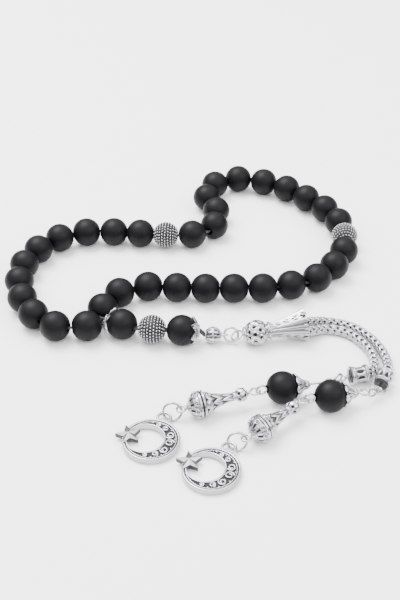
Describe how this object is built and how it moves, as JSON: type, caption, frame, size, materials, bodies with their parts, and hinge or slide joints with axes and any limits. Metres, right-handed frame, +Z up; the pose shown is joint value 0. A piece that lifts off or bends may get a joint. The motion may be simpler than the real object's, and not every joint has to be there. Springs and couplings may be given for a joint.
{
  "type": "misbaha",
  "caption": "Loop of round black prayer beads on a cord, with dotted silver dividers and a silver tassel of two chains that end in a crescent and star.",
  "frame": {"origin": "on the table, under the middle of the whole object as it lies", "axes": "+Z up from the table, +X towards the tassel's chains, +Y from the dangles towards the far end of the bead loop"},
  "size_m": [0.1265, 0.1667, 0.0102],
  "materials": {
    "black_bead": "matt, with a soft sheen",
    "cord": "waxed black cord",
    "dotted_silver": "cast, covered with small bright dots on a dark ground",
    "cast_silver": "cast and polished, dark in the recesses",
    "wire_silver": "polished wire",
    "chain_silver": "bright braided links"
  },
  "bodies": {
    "cord": {"cord": "cord"},
    "bead_01": {"bead_01": "black_bead"},
    "bead_02": {"bead_02": "black_bead"},
    "bead_03": {"bead_03": "black_bead"},
    "bead_04": {"bead_04": "black_bead"},
    "bead_05": {"bead_05": "black_bead"},
    "bead_06": {"bead_06": "black_bead"},
    "bead_07": {"bead_07": "black_bead"},
    "bead_08": {"bead_08": "black_bead"},
    "bead_09": {"bead_09": "black_bead"},
    "bead_10": {"bead_10": "black_bead"},
    "bead_11": {"bead_11": "black_bead"},
    "bead_12": {"bead_12": "black_bead"},
    "bead_13": {"bead_13": "black_bead"},
    "bead_14": {"bead_14": "black_bead"},
    "bead_15": {"bead_15": "black_bead"},
    "bead_16": {"bead_16": "black_bead"},
    "bead_17": {"bead_17": "black_bead"},
    "bead_18": {"bead_18": "black_bead"},
    "bead_19": {"bead_19": "black_bead"},
    "bead_20": {"bead_20": "black_bead"},
    "bead_21": {"bead_21": "black_bead"},
    "bead_22": {"bead_22": "black_bead"},
    "bead_23": {"bead_23": "black_bead"},
    "bead_24": {"bead_24": "black_bead"},
    "bead_25": {"bead_25": "black_bead"},
    "bead_26": {"bead_26": "black_bead"},
    "bead_27": {"bead_27": "black_bead"},
    "bead_28": {"bead_28": "black_bead"},
    "bead_29": {"bead_29": "black_bead"},
    "bead_30": {"bead_30": "black_bead"},
    "bead_31": {"bead_31": "black_bead"},
    "bead_32": {"bead_32": "black_bead"},
    "bead_33": {"bead_33": "black_bead"},
    "divider_first": {"divider_first": "dotted_silver"},
    "divider_second": {"divider_second": "dotted_silver"},
    "stem_cap_top": {"stem_cap_top": "cast_silver"},
    "stem_bead_top": {"stem_bead_top": "black_bead"},
    "stem_divider": {"stem_divider": "dotted_silver"},
    "stem_bead_end": {"stem_bead_end": "black_bead"},
    "stem_cap_end": {"stem_cap_end": "cast_silver"},
    "knot_cover": {"knot_cover": "cast_silver"},
    "tassel_ring": {"tassel_ring": "wire_silver"},
    "tassel_head": {"tassel_head": "cast_silver", "chain_left": "chain_silver", "chain_right": "chain_silver"},
    "end_cap_left": {"end_cap_left": "cast_silver"},
    "eye_pin_left": {"eye_pin_left": "wire_silver"},
    "bead_cap_left": {"bead_cap_left": "cast_silver"},
    "tassel_bead_left": {"tassel_bead_left": "black_bead"},
    "cone_drop_left": {"cone_drop_left": "cast_silver"},
    "jump_ring_left": {"jump_ring_left": "wire_silver"},
    "crescent_left": {"crescent_left": "cast_silver"},
    "end_cap_right": {"end_cap_right": "cast_silver"},
    "eye_pin_right": {"eye_pin_right": "wire_silver"},
    "bead_cap_right": {"bead_cap_right": "cast_silver"},
    "tassel_bead_right": {"tassel_bead_right": "black_bead"},
    "cone_drop_right": {"cone_drop_right": "cast_silver"},
    "jump_ring_right": {"jump_ring_right": "wire_silver"},
    "crescent_right": {"crescent_right": "cast_silver"}
  },
  "joints": [
    {"name": "bead_01_spin", "type": "hinge", "parent": "cord", "child": "bead_01", "pos_m": [-0.0334, -0.0141, 0.005], "axis": [-0.9837, -0.1796, 0], "continuous": true},
    {"name": "bead_02_spin", "type": "hinge", "parent": "cord", "child": "bead_02", "pos_m": [-0.04362, -0.01419, 0.005], "axis": [-0.9661, 0.2582, 0], "continuous": true},
    {"name": "bead_03_spin", "type": "hinge", "parent": "cord", "child": "bead_03", "pos_m": [-0.05136, -0.00778, 0.005], "axis": [-0.6434, 0.7655, 0], "continuous": true},
    {"name": "bead_04_spin", "type": "hinge", "parent": "cord", "child": "bead_04", "pos_m": [-0.05608, 0.00099, 0.005], "axis": [-0.3511, 0.9363, 0], "continuous": true},
    {"name": "bead_05_spin", "type": "hinge", "parent": "cord", "child": "bead_05", "pos_m": [-0.05831, 0.01063, 0.005], "axis": [-0.1032, 0.9947, 0], "continuous": true},
    {"name": "bead_06_spin", "type": "hinge", "parent": "cord", "child": "bead_06", "pos_m": [-0.05784, 0.02052, 0.005], "axis": [0.1699, 0.9855, 0], "continuous": true},
    {"name": "bead_07_spin", "type": "hinge", "parent": "cord", "child": "bead_07", "pos_m": [-0.05403, 0.02975, 0.005], "axis": [0.5263, 0.8503, 0], "continuous": true},
    {"name": "bead_08_spin", "type": "hinge", "parent": "cord", "child": "bead_08", "pos_m": [-0.0472, 0.03705, 0.005], "axis": [0.817, 0.5767, 0], "continuous": true},
    {"name": "bead_09_spin", "type": "hinge", "parent": "cord", "child": "bead_09", "pos_m": [-0.0379, 0.04072, 0.005], "axis": [0.9792, 0.2031, 0], "continuous": true},
    {"name": "bead_10_spin", "type": "hinge", "parent": "cord", "child": "bead_10", "pos_m": [-0.028, 0.04093, 0.005], "axis": [0.9983, -0.0582, 0], "continuous": true},
    {"name": "bead_11_spin", "type": "hinge", "parent": "cord", "child": "bead_11", "pos_m": [-0.01838, 0.03995, 0.005], "axis": [0.9937, -0.1119, 0], "continuous": true},
    {"name": "bead_12_spin", "type": "hinge", "parent": "cord", "child": "bead_12", "pos_m": [0.0003, 0.03932, 0.005], "axis": [0.9722, 0.2343, 0], "continuous": true},
    {"name": "bead_13_spin", "type": "hinge", "parent": "cord", "child": "bead_13", "pos_m": [0.00836, 0.04533, 0.005], "axis": [0.4169, 0.9089, 0], "continuous": true},
    {"name": "bead_14_spin", "type": "hinge", "parent": "cord", "child": "bead_14", "pos_m": [0.00912, 0.05535, 0.005], "axis": [-0.3193, 0.9476, 0], "continuous": true},
    {"name": "bead_15_spin", "type": "hinge", "parent": "cord", "child": "bead_15", "pos_m": [0.0056, 0.06462, 0.005], "axis": [-0.0441, 0.999, 0], "continuous": true},
    {"name": "bead_16_spin", "type": "hinge", "parent": "cord", "child": "bead_16", "pos_m": [0.00887, 0.07412, 0.005], "axis": [0.6029, 0.7978, 0], "continuous": true},
    {"name": "bead_17_spin", "type": "hinge", "parent": "cord", "child": "bead_17", "pos_m": [0.01798, 0.07839, 0.005], "axis": [0.9908, 0.1351, 0], "continuous": true},
    {"name": "bead_18_spin", "type": "hinge", "parent": "cord", "child": "bead_18", "pos_m": [0.02774, 0.07605, 0.005], "axis": [0.9285, -0.3714, 0], "continuous": true},
    {"name": "bead_19_spin", "type": "hinge", "parent": "cord", "child": "bead_19", "pos_m": [0.03632, 0.07111, 0.005], "axis": [0.8019, -0.5975, 0], "continuous": true},
    {"name": "bead_20_spin", "type": "hinge", "parent": "cord", "child": "bead_20", "pos_m": [0.04333, 0.0642, 0.005], "axis": [0.6681, -0.744, 0], "continuous": true},
    {"name": "bead_21_spin", "type": "hinge", "parent": "cord", "child": "bead_21", "pos_m": [0.04959, 0.05669, 0.005], "axis": [0.5785, -0.8157, 0], "continuous": true},
    {"name": "bead_22_spin", "type": "hinge", "parent": "cord", "child": "bead_22", "pos_m": [0.05387, 0.04771, 0.005], "axis": [0.3148, -0.9491, 0], "continuous": true},
    {"name": "bead_23_spin", "type": "hinge", "parent": "cord", "child": "bead_23", "pos_m": [0.05391, 0.02888, 0.005], "axis": [-0.2588, -0.9659, 0], "continuous": true},
    {"name": "bead_24_spin", "type": "hinge", "parent": "cord", "child": "bead_24", "pos_m": [0.04964, 0.01992, 0.005], "axis": [-0.5263, -0.8503, 0], "continuous": true},
    {"name": "bead_25_spin", "type": "hinge", "parent": "cord", "child": "bead_25", "pos_m": [0.04306, 0.01246, 0.005], "axis": [-0.7668, -0.6419, 0], "continuous": true},
    {"name": "bead_26_spin", "type": "hinge", "parent": "cord", "child": "bead_26", "pos_m": [0.03398, 0.00828, 0.005], "axis": [-0.9621, -0.2728, 0], "continuous": true},
    {"name": "bead_27_spin", "type": "hinge", "parent": "cord", "child": "bead_27", "pos_m": [0.02432, 0.00651, 0.005], "axis": [-0.9952, -0.0978, 0], "continuous": true},
    {"name": "bead_28_spin", "type": "hinge", "parent": "cord", "child": "bead_28", "pos_m": [0.01458, 0.00639, 0.005], "axis": [-0.9998, 0.0192, 0], "continuous": true},
    {"name": "bead_29_spin", "type": "hinge", "parent": "cord", "child": "bead_29", "pos_m": [0.00499, 0.00638, 0.005], "axis": [-0.9999, 0.0112, 0], "continuous": true},
    {"name": "bead_30_spin", "type": "hinge", "parent": "cord", "child": "bead_30", "pos_m": [-0.00465, 0.00686, 0.005], "axis": [-0.9984, 0.0562, 0], "continuous": true},
    {"name": "bead_31_spin", "type": "hinge", "parent": "cord", "child": "bead_31", "pos_m": [-0.01442, 0.00746, 0.005], "axis": [-0.9955, -0.0949, 0], "continuous": true},
    {"name": "bead_32_spin", "type": "hinge", "parent": "cord", "child": "bead_32", "pos_m": [-0.02383, 0.00395, 0.005], "axis": [-0.8174, -0.5761, 0], "continuous": true},
    {"name": "bead_33_spin", "type": "hinge", "parent": "cord", "child": "bead_33", "pos_m": [-0.02893, -0.0047, 0.005], "axis": [-0.1368, -0.9906, 0], "continuous": true},
    {"name": "divider_first_spin", "type": "hinge", "parent": "cord", "child": "divider_first", "pos_m": [-0.00921, 0.03893, 0.005], "axis": [0.9974, -0.0724, 0], "continuous": true},
    {"name": "divider_second_spin", "type": "hinge", "parent": "cord", "child": "divider_second", "pos_m": [0.05511, 0.03829, 0.005], "axis": [0.0111, -0.9999, 0], "continuous": true},
    {"name": "stem_cap_top_spin", "type": "hinge", "parent": "cord", "child": "stem_cap_top", "pos_m": [-0.022, -0.0133, 0.005], "axis": [0.9135, -0.4067, 0], "continuous": true},
    {"name": "stem_bead_top_spin", "type": "hinge", "parent": "cord", "child": "stem_bead_top", "pos_m": [-0.022, -0.0133, 0.005], "axis": [0.9135, -0.4067, 0], "continuous": true},
    {"name": "stem_divider_spin", "type": "hinge", "parent": "cord", "child": "stem_divider", "pos_m": [-0.0123, -0.0158, 0.005], "axis": [0.9945, -0.1045, 0], "continuous": true},
    {"name": "stem_bead_end_spin", "type": "hinge", "parent": "cord", "child": "stem_bead_end", "pos_m": [-0.0027, -0.0164, 0.005], "axis": [0.9986, -0.0523, 0], "continuous": true},
    {"name": "stem_cap_end_spin", "type": "hinge", "parent": "cord", "child": "stem_cap_end", "pos_m": [-0.0027, -0.0164, 0.005], "axis": [0.9986, -0.0523, 0], "continuous": true},
    {"name": "knot_cover_twist", "type": "hinge", "parent": "cord", "child": "knot_cover", "pos_m": [0.0073, -0.0162, 0.0029], "axis": [1, 0, 0], "range_deg": [-8, 8]},
    {"name": "tassel_ring_swing", "type": "hinge", "parent": "cord", "child": "tassel_ring", "pos_m": [0.01085, -0.0162, 0.0029], "axis": [0, 0, 1], "range_deg": [-25, 15]},
    {"name": "tassel_head_swing", "type": "hinge", "parent": "tassel_ring", "child": "tassel_head", "pos_m": [0.0153, -0.0161, 0.0029], "axis": [0, 0, -1], "range_deg": [-20, 20]},
    {"name": "chain_flex_left", "type": "hinge", "parent": "tassel_head", "child": "end_cap_left", "pos_m": [0.0546, -0.0181, 0.0017], "axis": [0, 0, 1], "range_deg": [-8, 0], "deforming": ["chain_left"]},
    {"name": "eye_pin_swing_left", "type": "hinge", "parent": "end_cap_left", "child": "eye_pin_left", "pos_m": [0.04636, -0.03746, 0.0031], "axis": [0, 0, -1], "range_deg": [0, 12]},
    {"name": "bead_cap_left_spin", "type": "hinge", "parent": "eye_pin_left", "child": "bead_cap_left", "pos_m": [0.0279, -0.0441, 0.005], "axis": [0.9684, 0.2414, -0.0628], "continuous": true},
    {"name": "tassel_bead_left_spin", "type": "hinge", "parent": "eye_pin_left", "child": "tassel_bead_left", "pos_m": [0.0279, -0.0441, 0.005], "axis": [0.9684, 0.2414, -0.0628], "continuous": true},
    {"name": "cone_drop_swing_left", "type": "hinge", "parent": "eye_pin_left", "child": "cone_drop_left", "pos_m": [0.01996, -0.04608, 0.0052], "axis": [0, 0, 1], "range_deg": [-18, 0]},
    {"name": "jump_ring_swing_left", "type": "hinge", "parent": "cone_drop_left", "child": "jump_ring_left", "pos_m": [-0.0025, -0.05237, 0.00392], "axis": [0, 0, -1], "range_deg": [0, 16]},
    {"name": "crescent_swing_left", "type": "hinge", "parent": "jump_ring_left", "child": "crescent_left", "pos_m": [-0.00729, -0.05324, 0.0015], "axis": [0, 0, 1], "range_deg": [-25, 8]},
    {"name": "chain_flex_right", "type": "hinge", "parent": "tassel_head", "child": "end_cap_right", "pos_m": [0.0586, -0.0176, 0.0017], "axis": [0, 0, 1], "range_deg": [0, 10], "deforming": ["chain_right"]},
    {"name": "eye_pin_swing_right", "type": "hinge", "parent": "end_cap_right", "child": "eye_pin_right", "pos_m": [0.05676, -0.04342, 0.0031], "axis": [0, 0, -1], "range_deg": [-12, 0]},
    {"name": "bead_cap_right_spin", "type": "hinge", "parent": "eye_pin_right", "child": "bead_cap_right", "pos_m": [0.0421, -0.0479, 0.005], "axis": [0.9724, 0.2245, -0.0628], "continuous": true},
    {"name": "tassel_bead_right_spin", "type": "hinge", "parent": "eye_pin_right", "child": "tassel_bead_right", "pos_m": [0.0421, -0.0479, 0.005], "axis": [0.9724, 0.2245, -0.0628], "continuous": true},
    {"name": "cone_drop_swing_right", "type": "hinge", "parent": "eye_pin_right", "child": "cone_drop_right", "pos_m": [0.03413, -0.04974, 0.0052], "axis": [0, 0, 1], "range_deg": [0, 18]},
    {"name": "jump_ring_swing_right", "type": "hinge", "parent": "cone_drop_right", "child": "jump_ring_right", "pos_m": [0.0163, -0.06492, 0.00392], "axis": [0, 0, -1], "range_deg": [-16, 0]},
    {"name": "crescent_swing_right", "type": "hinge", "parent": "jump_ring_right", "child": "crescent_right", "pos_m": [0.01151, -0.06579, 0.0015], "axis": [0, 0, 1], "range_deg": [-6, 25]}
  ]
}
